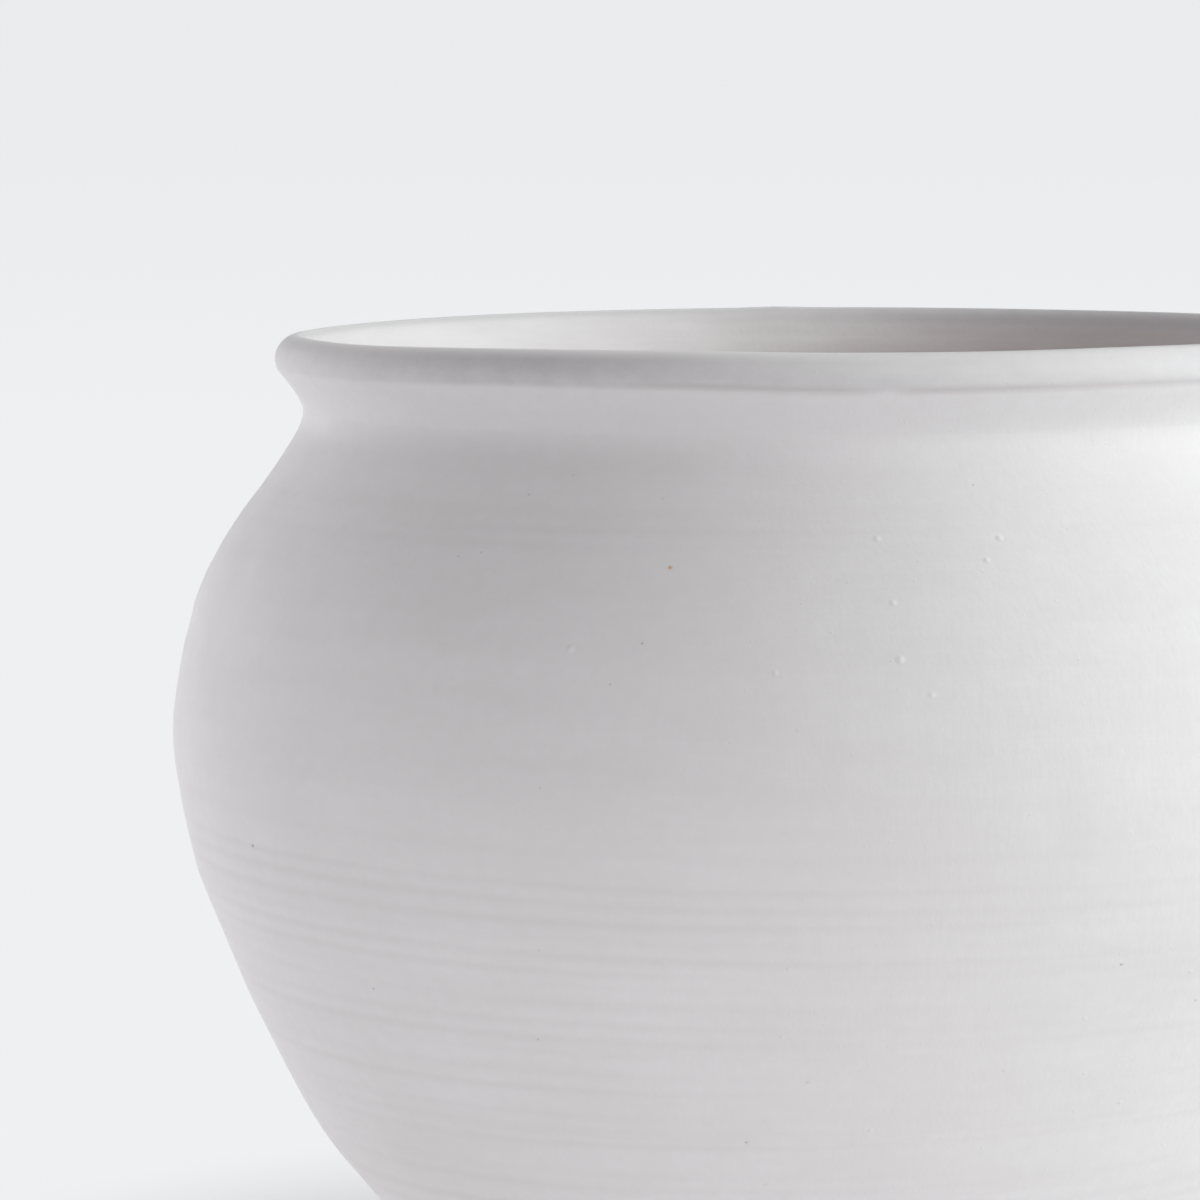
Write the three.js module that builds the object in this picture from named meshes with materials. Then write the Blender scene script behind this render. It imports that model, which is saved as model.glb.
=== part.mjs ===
// A wheel-thrown terracotta vase under a matt white coat: a round belly on a turned foot, a drawn-in
// neck and a rolled lip. Millimetres, +Z up, origin on the table under the centre of the foot.
//
// The clay is thrown in three sections that are luted together while leather-hard: a bowl with its
// foot, a shoulder with the neck, and the lip. Each joint is a V-shaped ridge bedded on slip in a
// V-shaped groove. The white coat covers the outside and turns over the lip, and a thinner liner
// seals the porous clay inside. Nothing moves: the kiln fuses all of it.

import * as THREE from "three";

// Overall form. These are sizes of the finished white surface.
const HEIGHT = 218; // table to the crest of the lip
const BELLY_RADIUS = 140;
const BELLY_HEIGHT = 130; // where the belly is widest
const NECK_RADIUS = 111.4; // where the neck is narrowest
const NECK_DROP = 16.8; // crest down to that place
const BEAD_OVERHANG = 6; // beyond the neck, where the lip's bead is widest
const BEAD_DROP = 5; // crest down to that place
const CREASE_OVERHANG = 5.4; // beyond the neck, where the bead ends and the neck's cove begins
const CREASE_DROP = 7.3;
const CREST_OVERHANG = 1.6; // beyond the neck, top of the lip

// Foot, in bare clay.
const FOOT_RADIUS = 71.1;
const FOOT_HEIGHT = 6; // table to where the wall springs from the foot
const FOOT_RING_WIDTH = 9;
const FOOT_RECESS = 4; // depth of the turned hollow under the floor
const FOOT_CHAMFER = 0.8;

// Thicknesses.
const WALL = 7; // clay
const FLOOR = 9; // clay
const COAT = 0.6; // white coat outside
const LINER = 0.4; // white coat inside
const SLIP = 0.8; // bed in each joint
const FIT_GAP = 0.3; // clearance between a coat and what it covers
const JOINT_GAP = 0.5; // clearance above and below a bed of slip

// Where the pieces meet.
const BELLY_JOINT_DROP = 18; // below the widest place
const BELLY_JOINT_DEPTH = 3.2; // of the V
const LIP_JOINT_RISE = 3.6; // above the narrowest place
const LIP_JOINT_DEPTH = 2;
const COAT_EDGE = 2.5; // table to the wiped lower edge of the coat
const COAT_TURN = 7; // crest down to where the coat ends inside the lip

// Shape of the curves: the wall's lean where it leaves the foot, and how far each end of a curve
// holds its direction, as a share of the rise that the curve covers.
const FOOT_LEAN = THREE.MathUtils.degToRad(58.8);
const FOOT_HOLD = 0.372;
const BELLY_HOLD_BELOW = 0.209;
const BELLY_HOLD_ABOVE = 0.604;
const NECK_HOLD = 0.159;
const COVE_HOLD = 0.26;
const BEAD_HOLD = 0.55;
const CREST_HOLD = 0.4;
const THROAT_HOLD = 0.5;
const FLOOR_CURVE_RISE = 12; // floor up to where it has become wall
const FLOOR_CURVE_INSET = 21; // foot's edge in to where the floor is flat

// Finishes.
const CLAY = { color: 0xb5694c, roughness: 0.92, metalness: 0 };
const SLIP_CLAY = { color: 0xa85f45, roughness: 0.95, metalness: 0 };
const WHITE = { color: 0xe9e6e8, roughness: 0.55, metalness: 0 };
const LINER_WHITE = { color: 0xddd6d8, roughness: 0.6, metalness: 0 };

// Fineness.
const SEGMENTS = 44; // round the pot
const WALL_STEPS = 7;
const SHOULDER_STEPS = 7;
const COVE_STEPS = 4;
const BEAD_STEPS = 4;
const LIP_STEPS = 5;
const FLOOR_STEPS = 3;

const point = (radius, height) => new THREE.Vector2(radius, height);

// Points along a Bezier curve, without its first point.
function curvePoints(steps, ...controls) {
  const Curve = controls.length === 3 ? THREE.QuadraticBezierCurve : THREE.CubicBezierCurve;
  return new Curve(...controls).getPoints(steps).slice(1);
}

// The line moved sideways: a positive distance goes to its right, which is away from the clay on
// a line that runs up the outside, over the lip and down the inside.
function offset(line, distance) {
  return line.map((here, i) => {
    const before = line[Math.max(i - 1, 0)];
    const after = line[Math.min(i + 1, line.length - 1)];
    const into = here.clone().sub(before).normalize();
    const out = after.clone().sub(here).normalize();
    const along = into.add(out).normalize();
    return here.clone().add(point(along.y, -along.x).multiplyScalar(distance));
  });
}

// Where a line that only rises, or only falls, crosses a height.
function crossing(line, height) {
  for (let i = 1; i < line.length; i += 1) {
    const low = Math.min(line[i - 1].y, line[i].y);
    const high = Math.max(line[i - 1].y, line[i].y);
    if (height >= low && height <= high && high > low) {
      const share = (height - line[i - 1].y) / (line[i].y - line[i - 1].y);
      return line[i - 1].clone().lerp(line[i], share);
    }
  }
  throw new Error(`the line does not reach a height of ${height}`);
}

// The stretch of such a line between two heights, cut cleanly where it runs past them.
function between(line, low, high) {
  const kept = line.filter((p) => p.y >= low && p.y <= high);
  const cut = (end) => {
    if (end.y < low) return [crossing(line, low)];
    return end.y > high ? [crossing(line, high)] : [];
  };
  return [...cut(line[0]), ...kept, ...cut(line[line.length - 1])];
}

// The clay's outside, from the table up to the crest of the lip.
const skin = COAT + FIT_GAP;
const neckHeight = HEIGHT - NECK_DROP;
const crest = point(NECK_RADIUS + CREST_OVERHANG, HEIGHT - skin);

function clayWall() {
  const foot = point(FOOT_RADIUS, FOOT_HEIGHT);
  const belly = point(BELLY_RADIUS - skin, BELLY_HEIGHT);
  const neck = point(NECK_RADIUS - skin, neckHeight);
  const lowerRise = belly.y - foot.y;
  const upperRise = neck.y - belly.y;
  const lean = point(Math.sin(FOOT_LEAN), Math.cos(FOOT_LEAN));
  const lower = curvePoints(
    WALL_STEPS,
    foot,
    foot.clone().addScaledVector(lean, lowerRise * FOOT_HOLD),
    point(belly.x, belly.y - lowerRise * BELLY_HOLD_BELOW),
    belly,
  );
  const shoulder = curvePoints(
    SHOULDER_STEPS,
    belly,
    point(belly.x, belly.y + upperRise * BELLY_HOLD_ABOVE),
    point(neck.x, neck.y - upperRise * NECK_HOLD),
    neck,
  );
  return [foot, ...lower, ...shoulder];
}

function clayLip() {
  const neck = point(NECK_RADIUS - skin, neckHeight);
  const crease = point(neck.x + CREASE_OVERHANG, HEIGHT - CREASE_DROP);
  const bead = point(neck.x + BEAD_OVERHANG, HEIGHT - BEAD_DROP);
  const coveRise = crease.y - neck.y;
  const beadRise = crest.y - bead.y;
  const cove = curvePoints(COVE_STEPS, neck, point(neck.x, neck.y + coveRise * COVE_HOLD), crease);
  const over = curvePoints(
    BEAD_STEPS,
    bead,
    point(bead.x, bead.y + beadRise * BEAD_HOLD),
    point(crest.x + (bead.x - crest.x) * CREST_HOLD, crest.y),
    crest,
  );
  return [...cove, bead, ...over];
}

const wall = clayWall();
const outside = [point(FOOT_RADIUS, 0), ...wall, ...clayLip()];

// The clay's inside, from the crest down the throat and the wall to the middle of the floor.
const floorHeight = FOOT_RECESS + FLOOR;

function clayInside() {
  const innerWall = offset(wall, -WALL).reverse();
  const throat = innerWall[0];
  const lipRise = crest.y - throat.y;
  const lip = curvePoints(
    LIP_STEPS,
    crest,
    point(crest.x - (crest.x - throat.x) * CREST_HOLD, crest.y),
    point(throat.x, throat.y + lipRise * THROAT_HOLD),
    throat,
  );
  const straight = between(innerWall, floorHeight + FLOOR_CURVE_RISE, throat.y);
  const start = straight[straight.length - 1];
  const down = start.clone().sub(straight[straight.length - 2]);
  const corner = start.clone().addScaledVector(down, (floorHeight - start.y) / down.y);
  const floorEdge = point(FOOT_RADIUS - FLOOR_CURVE_INSET, floorHeight);
  const floor = curvePoints(FLOOR_STEPS, start, corner, floorEdge);
  return [crest, ...lip, ...straight.slice(1), ...floor, point(0, floorHeight)];
}

const inside = clayInside();

// A joint, seen in section: the V runs from the outer wall to the inner wall or back.
function vee(height, depth) {
  const outer = crossing(outside, height);
  const inner = crossing(inside, height);
  return [outer, point((outer.x + inner.x) / 2, height - depth), inner];
}

const bellyJoint = { height: BELLY_HEIGHT - BELLY_JOINT_DROP, depth: BELLY_JOINT_DEPTH };
const lipJoint = { height: neckHeight + LIP_JOINT_RISE, depth: LIP_JOINT_DEPTH };
const bedHalf = SLIP / 2;
const clayHalf = bedHalf + JOINT_GAP;

// One turned piece: its section, given once round in order, swept about the axis.
function turned(name, section, finish) {
  const onAxis = section[0].x === 0 && section[section.length - 1].x === 0;
  const profile = onAxis ? section : [...section, section[0].clone()];
  const geometry = new THREE.LatheGeometry(profile, SEGMENTS).rotateX(Math.PI / 2);
  const mesh = new THREE.Mesh(geometry, new THREE.MeshStandardMaterial(finish));
  mesh.name = name;
  return mesh;
}

function lowerSection() {
  const ringInner = FOOT_RADIUS - FOOT_RING_WIDTH;
  const top = bellyJoint.height - clayHalf;
  return turned(
    "lower_section",
    [
      point(0, FOOT_RECESS),
      point(ringInner, FOOT_RECESS),
      point(ringInner, FOOT_CHAMFER),
      point(ringInner + FOOT_CHAMFER, 0),
      point(FOOT_RADIUS - FOOT_CHAMFER, 0),
      ...between(outside, FOOT_CHAMFER, top).slice(0, -1),
      ...vee(top, bellyJoint.depth),
      ...between(inside, -Infinity, top).slice(1),
    ],
    CLAY,
  );
}

function upperSection() {
  const bottom = bellyJoint.height + clayHalf;
  const top = lipJoint.height - clayHalf;
  return turned(
    "upper_section",
    [
      ...between(outside, bottom, top).slice(0, -1),
      ...vee(top, lipJoint.depth),
      ...between(inside, bottom, top).slice(1),
      vee(bottom, bellyJoint.depth)[1],
    ],
    CLAY,
  );
}

function lipRoll() {
  const bottom = lipJoint.height + clayHalf;
  return turned(
    "lip_roll",
    [
      ...between(outside, bottom, Infinity),
      ...between(inside, bottom, Infinity).slice(1),
      vee(bottom, lipJoint.depth)[1],
    ],
    CLAY,
  );
}

function slipBed(name, joint) {
  const top = vee(joint.height + bedHalf, joint.depth);
  const bottom = vee(joint.height - bedHalf, joint.depth);
  return turned(name, [...top, ...bottom.reverse()], SLIP_CLAY);
}

// A coat along a line on the clay, standing off it by the fit gap.
function coatAlong(line, thickness) {
  return [...offset(line, FIT_GAP + thickness), ...offset(line, FIT_GAP).reverse()];
}

function outerCoat() {
  const overLip = between(inside, HEIGHT - COAT_TURN + FIT_GAP / 2, Infinity);
  const line = [...between(outside, COAT_EDGE, Infinity), ...overLip.slice(1)];
  return turned("outer_coat", coatAlong(line, COAT), WHITE);
}

function innerLiner() {
  const line = between(inside, -Infinity, HEIGHT - COAT_TURN - FIT_GAP / 2);
  return turned("inner_liner", coatAlong(line, LINER), LINER_WHITE);
}

const vase = new THREE.Group();
vase.name = "vase";
vase.add(
  lowerSection(),
  slipBed("belly_joint_slip", bellyJoint),
  upperSection(),
  slipBed("lip_joint_slip", lipJoint),
  lipRoll(),
  outerCoat(),
  innerLiner(),
);

export default vase;
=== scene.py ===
# A wheel-thrown vase under a matt white coat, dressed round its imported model. Metres, +Z up.
#
# Every piece is turned about Z. An azimuth is measured from -Y, the side that faces the camera,
# towards +X, so a point lies at (radius * sin, -radius * cos, height).

import math

import bmesh
import bpy
import numpy as np
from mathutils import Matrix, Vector


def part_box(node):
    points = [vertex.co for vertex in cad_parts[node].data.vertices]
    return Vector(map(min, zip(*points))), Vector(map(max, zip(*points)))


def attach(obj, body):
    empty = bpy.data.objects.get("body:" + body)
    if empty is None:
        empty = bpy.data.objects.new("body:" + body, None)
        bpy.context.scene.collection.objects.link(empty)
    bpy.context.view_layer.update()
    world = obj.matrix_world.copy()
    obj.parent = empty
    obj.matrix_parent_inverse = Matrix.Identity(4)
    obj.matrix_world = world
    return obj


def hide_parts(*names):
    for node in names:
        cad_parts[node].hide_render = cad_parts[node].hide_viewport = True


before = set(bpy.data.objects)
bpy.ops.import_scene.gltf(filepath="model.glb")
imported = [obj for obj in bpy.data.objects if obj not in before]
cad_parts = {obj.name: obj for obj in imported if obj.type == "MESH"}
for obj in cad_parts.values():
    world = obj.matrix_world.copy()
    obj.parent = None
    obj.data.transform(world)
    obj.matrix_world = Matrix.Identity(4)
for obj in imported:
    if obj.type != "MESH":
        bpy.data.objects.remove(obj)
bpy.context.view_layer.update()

MM = 0.001
TINY = 1e-9
TURN = 2 * math.pi

# Overall form, of the finished white surface.
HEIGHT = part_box("outer_coat")[1].z
BELLY_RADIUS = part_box("outer_coat")[1].x
BELLY_HEIGHT = 130 * MM
NECK_RADIUS = 111.4 * MM
NECK_DROP = 16.8 * MM
BEAD_OVERHANG = 6 * MM
BEAD_DROP = 5 * MM
CREASE_OVERHANG = 5.4 * MM
CREASE_DROP = 7.3 * MM
CREST_OVERHANG = 1.6 * MM

# Foot, in bare clay.
FOOT_RADIUS = 71.1 * MM
FOOT_HEIGHT = 6 * MM
FOOT_RING_WIDTH = 9 * MM
FOOT_RECESS = 4 * MM
FOOT_CHAMFER = 0.8 * MM
FOOT_COVE = 2 * MM
RECESS_ROUNDING = 2 * MM

# Thicknesses and where the pieces meet.
WALL = 7 * MM
FLOOR = 9 * MM
COAT = 0.6 * MM
LINER = 0.4 * MM
SLIP = 0.8 * MM
FIT_GAP = 0.3 * MM
JOINT_GAP = 0.5 * MM
BELLY_JOINT_DROP = 18 * MM
BELLY_JOINT_DEPTH = 3.2 * MM
LIP_JOINT_RISE = 3.6 * MM
LIP_JOINT_DEPTH = 2 * MM
COAT_EDGE = 2.5 * MM
COAT_TURN = 7 * MM

# Shape of the curves: the wall's lean at the foot, how far each end of a curve holds its direction, as
# a share of the rise or run that the curve covers, and the size of the floor's curve.
FOOT_LEAN = math.radians(58.8)
FOOT_HOLD = 0.372
BELLY_HOLD_BELOW = 0.209
BELLY_HOLD_ABOVE = 0.604
NECK_HOLD = 0.159
COVE_HOLD = 0.26
BEAD_HOLD = 0.55
CREST_HOLD = 0.4
CREST_HOLD_INSIDE = 0.18
THROAT_HOLD = 0.5
FLOOR_CURVE_RISE = 12 * MM
FLOOR_CURVE_INSET = 21 * MM

# Steps along each stretch of the outline at full detail, and the detail of the skins and of the clay.
FOOT_SIDE_STEPS = 6
FOOT_COVE_STEPS = 5
WALL_STEPS = 250
SHOULDER_STEPS = 120
NECK_COVE_STEPS = 20
UNDER_BEAD_STEPS = 6
OVER_BEAD_STEPS = 18
INNER_LIP_STEPS = 26
FLOOR_CURVE_STEPS = 28
FLOOR_STEPS = 40
SKIN_DETAIL = 1
CLAY_DETAIL = 0.35

# What the hand left in the form: the rim's lean, as a slope, its small waves, and the pot's slight want
# of roundness. The rim's swells are azimuth and half width in degrees and rise in millimetres; the
# wall's are height, half width and swelling in millimetres.
RIM_LEAN = 0.0059
LEAN_FROM = 150 * MM
LEAN_FULL = 205 * MM
RIM_SWELLS = (
    (-175, 3, 0.25),
    (-100, 32, -0.75),
    (-58, 12, -0.30),
    (-45, 25, -0.12),
    (-28, 12, 0.20),
    (-13, 7, 0.20),
    (5, 10, -0.15),
    (20, 12, -0.28),
    (45, 10, -0.18),
    (145, 20, -0.25),
)
RIM_WAVE = 0.05 * MM
RIM_FROM = 203 * MM
RIM_FULL = 214 * MM
WALL_SWELLS = (
    (185.0, 8.0, -0.55),
    (143.5, 9.0, -0.45),
    (120.0, 6.0, -0.20),
    (101.5, 7.0, 0.38),
    (86.0, 11.0, -0.42),
    (66.0, 13.0, -0.60),
    (34.0, 9.0, -1.80),
    (26.0, 6.0, -0.80),
)
OUT_OF_ROUND = 0.14 * MM
TRUE_BELOW = 20 * MM

# Most lines below the neck go round a little aslant: by a share of their distance from one level, up
# to a most, and less and less towards the neck.
SLANT = 0.075
SLANT_LEVEL = 106.6 * MM
SLANT_MOST = 3.5 * MM
SLANT_FADES = (155 * MM, 185 * MM)

# How strong each random wave is, and the seeds of the waves and marks.
WAVE_STRENGTHS = (0.5, 1)
MARK_SEED = 5
RIM_SEED = 11
ROUNDNESS_SEED = 12
COAT_EDGE_SEED = 13
RING_PLACE_SEED = 40
RING_DEPTH_SEED = 80
CREASE_SEED = 90
LINER_SEED = 101

# How meshes are finished.
SHARP_EDGE = math.radians(50)
WELD_DISTANCE = 0.001 * MM

# Camera, found from the photograph's outline: pan and tilt are in radians. A line of sight meets the
# pot within its reach.
IMAGE_SIZE = 1200
FOCAL_PIXELS = 5400
SENSOR = 36
CAMERA_PLACE = Vector((0, -1175.99 * MM, 268.27 * MM))
CAMERA_PAN = -0.0398
CAMERA_TILT = -0.09314
CAMERA_SEES_TO = 100
SIGHT_REACH = (0.95, 1.25)
SIGHT_STEPS = 6000


def smooth(start, end, value):
    """0 before start, 1 after end, and an even ease between them."""
    share = np.clip((value - start) / (end - start), 0, 1)
    return share * share * (3 - 2 * share)


def bell(offset, width):
    """1 at no offset, falling away on both sides."""
    return np.exp(-((offset / width) ** 2))


def turn_from(place, azimuth):
    """The shorter turn from one azimuth to another."""
    return np.angle(np.exp(1j * (azimuth - place)))


def wander(azimuth, seed, orders):
    """A slow random wave round the pot, mostly between -1 and 1, of up to so many waves in a turn."""
    draws = np.random.default_rng(seed)
    total = 0
    for order in range(1, orders + 1):
        strength = draws.uniform(*WAVE_STRENGTHS)
        total = total + strength * np.cos(order * azimuth + draws.uniform(0, TURN))
    return total / math.sqrt(orders)


# Outline

def bezier(steps, *controls):
    """Points along a Bezier curve, both ends included."""
    share = np.linspace(0, 1, steps + 1)[:, None]
    top = len(controls) - 1
    return sum(
        math.comb(top, k) * share**k * (1 - share) ** (top - k) * np.array(control)
        for k, control in enumerate(controls)
    )


def chain(*stretches):
    """Stretches of a line, end to end, with each shared end kept once."""
    return np.concatenate([stretches[0]] + [stretch[1:] for stretch in stretches[1:]])


def normals(line):
    """The right-hand normal at each point, which points away from the clay."""
    steps = np.diff(line, axis=0)
    steps /= np.linalg.norm(steps, axis=1)[:, None]
    along = np.concatenate([steps[:1], steps[:-1] + steps[1:], steps[-1:]])
    along /= np.linalg.norm(along, axis=1)[:, None]
    return np.stack([along[:, 1], -along[:, 0]], axis=1)


def offset(line, distance):
    return line + normals(line) * distance


def run(line):
    """Length along a line, up to each of its points."""
    return np.concatenate([[0], np.cumsum(np.linalg.norm(np.diff(line, axis=0), axis=1))])


def crossing(line, height):
    """Where a line that only rises, or only falls, passes a height."""
    order = np.argsort(line[:, 1])
    return np.array([np.interp(height, line[order, 1], line[order, 0]), height])


def between(line, low, high):
    """The stretch of such a line between two heights, cut cleanly where it runs past them."""
    low, high = max(low, line[:, 1].min()), min(high, line[:, 1].max())
    kept = line[(line[:, 1] > low + TINY) & (line[:, 1] < high - TINY)]
    first, last = (low, high) if line[0, 1] < line[-1, 1] else (high, low)
    return np.concatenate([[crossing(line, first)], kept, [crossing(line, last)]])


def below(line, height):
    """What a falling line has below a height, cut cleanly at it."""
    return np.concatenate([[crossing(line, height)], line[line[:, 1] < height - TINY]])


SKIN = COAT + FIT_GAP
NECK_HEIGHT = HEIGHT - NECK_DROP
FLOOR_HEIGHT = FOOT_RECESS + FLOOR
FOOT_RING_INNER = FOOT_RADIUS - FOOT_RING_WIDTH
BELLY_JOINT = BELLY_HEIGHT - BELLY_JOINT_DROP
LIP_JOINT = NECK_HEIGHT + LIP_JOINT_RISE
JOINT_STAND_OFF = SLIP / 2 + JOINT_GAP


def clay_outside(detail):
    """The clay's outside from the table to the crest of the lip, and the part of it that is wall."""
    lean = np.array([math.sin(FOOT_LEAN), math.cos(FOOT_LEAN)])
    foot = np.array([FOOT_RADIUS, FOOT_HEIGHT])
    spring = foot + lean * FOOT_COVE
    belly = np.array([BELLY_RADIUS - SKIN, BELLY_HEIGHT])
    neck = np.array([NECK_RADIUS - SKIN, NECK_HEIGHT])
    crease = np.array([neck[0] + CREASE_OVERHANG, HEIGHT - CREASE_DROP])
    bead = np.array([neck[0] + BEAD_OVERHANG, HEIGHT - BEAD_DROP])
    crest = np.array([NECK_RADIUS + CREST_OVERHANG, HEIGHT - SKIN])
    rise_below = BELLY_HEIGHT - FOOT_HEIGHT
    rise_above = NECK_HEIGHT - BELLY_HEIGHT
    foot_side = bezier(
        round(FOOT_SIDE_STEPS * detail), (FOOT_RADIUS, 0), (FOOT_RADIUS, FOOT_HEIGHT - FOOT_COVE)
    )
    foot_cove = bezier(round(FOOT_COVE_STEPS * detail), foot_side[-1], foot, spring)
    wall = bezier(
        round(WALL_STEPS * detail),
        spring,
        foot + lean * rise_below * FOOT_HOLD,
        (belly[0], belly[1] - rise_below * BELLY_HOLD_BELOW),
        belly,
    )
    shoulder = bezier(
        round(SHOULDER_STEPS * detail),
        belly,
        (belly[0], belly[1] + rise_above * BELLY_HOLD_ABOVE),
        (neck[0], neck[1] - rise_above * NECK_HOLD),
        neck,
    )
    cove = bezier(
        round(NECK_COVE_STEPS * detail),
        neck,
        (neck[0], neck[1] + (crease[1] - neck[1]) * COVE_HOLD),
        crease,
    )
    under_bead = bezier(
        round(UNDER_BEAD_STEPS * detail), crease, (bead[0], (crease[1] + bead[1]) / 2), bead
    )
    over_bead = bezier(
        round(OVER_BEAD_STEPS * detail),
        bead,
        (bead[0], bead[1] + (crest[1] - bead[1]) * BEAD_HOLD),
        (crest[0] + (bead[0] - crest[0]) * CREST_HOLD, crest[1]),
        crest,
    )
    sides = chain(wall, shoulder)
    return chain(foot_side, foot_cove, sides, cove, under_bead, over_bead), sides


def clay_inside(detail):
    """The clay's inside, from the crest down the throat and the wall to the middle of the floor."""
    outside, sides = clay_outside(detail)
    crest = outside[-1]
    inner = offset(sides, -WALL)[::-1]
    throat = inner[0]
    lip = bezier(
        round(INNER_LIP_STEPS * detail),
        crest,
        (crest[0] - (crest[0] - throat[0]) * CREST_HOLD_INSIDE, crest[1]),
        (throat[0], throat[1] + (crest[1] - throat[1]) * THROAT_HOLD),
        throat,
    )
    side = between(inner, FLOOR_HEIGHT + FLOOR_CURVE_RISE, throat[1])
    down = side[-1] - side[-2]
    corner = side[-1] + down * (FLOOR_HEIGHT - side[-1, 1]) / down[1]
    floor_edge = np.array([FOOT_RADIUS - FLOOR_CURVE_INSET, FLOOR_HEIGHT])
    floor_curve = bezier(round(FLOOR_CURVE_STEPS * detail), side[-1], corner, floor_edge)
    floor = bezier(round(FLOOR_STEPS * detail), floor_edge, (0, FLOOR_HEIGHT))
    return chain(lip, side, floor_curve, floor)


def thinned(line, step):
    """One point of a line in every so many, and its last."""
    return line[np.unique(np.append(np.arange(0, len(line), step), len(line) - 1))]


def vee(outside, inside, height, depth):
    """A luted joint in section: a V from the outer wall to the inner wall."""
    outer, inner = crossing(outside, height), crossing(inside, height)
    return np.array([outer, [(outer[0] + inner[0]) / 2, height - depth], inner])


# Mesh building

def slanted(level, azimuth):
    """Height of something that goes round the pot a little aslant, as most lines below the neck do."""
    slant = np.clip(SLANT * (SLANT_LEVEL - level), -SLANT_MOST, SLANT_MOST)
    return level + slant * (1 - smooth(*SLANT_FADES, level)) * np.sin(azimuth)


def hand_shaped(radius, azimuth, height):
    """Points of the true form, moved as the thrower's hand left them, as x, y, z."""
    rise = RIM_LEAN * radius * np.sin(azimuth) * smooth(LEAN_FROM, LEAN_FULL, height)
    waves = RIM_WAVE * wander(azimuth, RIM_SEED, orders=9)
    for place, width, swell in RIM_SWELLS:
        apart = turn_from(math.radians(place), azimuth)
        waves = waves + swell * MM * bell(apart, math.radians(width))
    rise = rise + waves * smooth(RIM_FROM, RIM_FULL, height)
    out = OUT_OF_ROUND * wander(azimuth, ROUNDNESS_SEED, orders=4)
    out = out * smooth(TRUE_BELOW, BELLY_HEIGHT, height)
    for level, width, swell in WALL_SWELLS:
        out = out + swell * MM * bell(height - slanted(level * MM, azimuth), width * MM)
    radius = radius + out * np.minimum(radius / NECK_RADIUS, 1)
    return np.stack([radius * np.sin(azimuth), -radius * np.cos(azimuth), height + rise], axis=-1)


def finish_piece(name, mesh, material):
    """An object of that name, smooth but for its sharp edges."""
    mesh.materials.append(material)
    mesh.shade_smooth()
    mesh.set_sharp_from_angle(angle=SHARP_EDGE)
    piece = bpy.data.objects.new(name, mesh)
    bpy.context.scene.collection.objects.link(piece)
    return piece


def set_values(mesh, name, values):
    """One number for each point of a mesh, for its material to read."""
    layer = mesh.attributes.new(name, "FLOAT", "POINT")
    layer.data.foreach_set("value", values.astype(np.float32))


def turned_faces(rows, columns, closed):
    """Quads between neighbouring rows of a turned piece, facing out of the clay."""
    quads = []
    for row in range(rows if closed else rows - 1):
        above = (row + 1) % rows
        for column in range(columns):
            beside = (column + 1) % columns
            quads.append(
                (
                    row * columns + column,
                    row * columns + beside,
                    above * columns + beside,
                    above * columns + column,
                )
            )
    return quads


def turned(name, section, columns, material, relief=None):
    """A closed piece: a section, given once round in order, swept about Z."""
    on_axis = section[0, 0] == 0 and section[-1, 0] == 0
    azimuth = np.linspace(-math.pi, math.pi, columns, endpoint=False)
    azimuth, radius = np.meshgrid(azimuth, section[:, 0])
    height = np.repeat(section[:, 1:], columns, axis=1)
    if relief is not None:
        away = normals(section)
        amount = relief(azimuth, radius, height)
        radius, height = radius + away[:, :1] * amount, height + away[:, 1:] * amount
    places = hand_shaped(radius, azimuth, height).reshape(-1, 3)
    mesh = bpy.data.meshes.new(name)
    mesh.from_pydata(places.tolist(), [], turned_faces(len(section), columns, not on_axis))
    if on_axis:
        weld(mesh)
    return finish_piece(name, mesh, material)


def weld(mesh):
    """Joins the points that meet on the axis."""
    shape = bmesh.new()
    shape.from_mesh(mesh)
    bmesh.ops.remove_doubles(shape, verts=shape.verts, dist=WELD_DISTANCE)
    shape.to_mesh(mesh)
    shape.free()


# Camera

def look_direction():
    return Vector(
        (
            math.sin(CAMERA_PAN) * math.cos(CAMERA_TILT),
            math.cos(CAMERA_PAN) * math.cos(CAMERA_TILT),
            math.sin(CAMERA_TILT),
        )
    )


def make_camera():
    data = bpy.data.cameras.new("camera")
    data.sensor_width = SENSOR
    data.lens = FOCAL_PIXELS / IMAGE_SIZE * SENSOR
    data.clip_end = CAMERA_SEES_TO
    camera = bpy.data.objects.new("camera", data)
    camera.location = CAMERA_PLACE
    camera.rotation_euler = look_direction().to_track_quat("-Z", "Y").to_euler()
    bpy.context.scene.collection.objects.link(camera)
    bpy.context.scene.camera = camera


def seen_at(pixel, line):
    """Azimuth and height of the place on a turned surface that a pixel of the photograph shows."""
    ahead = look_direction()
    right = ahead.cross(Vector((0, 0, 1))).normalized()
    up = right.cross(ahead)
    half = IMAGE_SIZE / 2
    ray = ahead + right * ((pixel[0] - half) / FOCAL_PIXELS) + up * ((half - pixel[1]) / FOCAL_PIXELS)
    reach = np.linspace(*SIGHT_REACH, SIGHT_STEPS + 1)[:, None]
    track = np.array(CAMERA_PLACE) + reach * np.array(ray)
    inside = np.hypot(track[:, 0], track[:, 1]) < np.interp(track[:, 2], line[:, 1], line[:, 0])
    hit = track[np.argmax(inside)]
    return math.atan2(hit[0], -hit[1]), hit[2]


# Relief of the white skin

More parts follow.
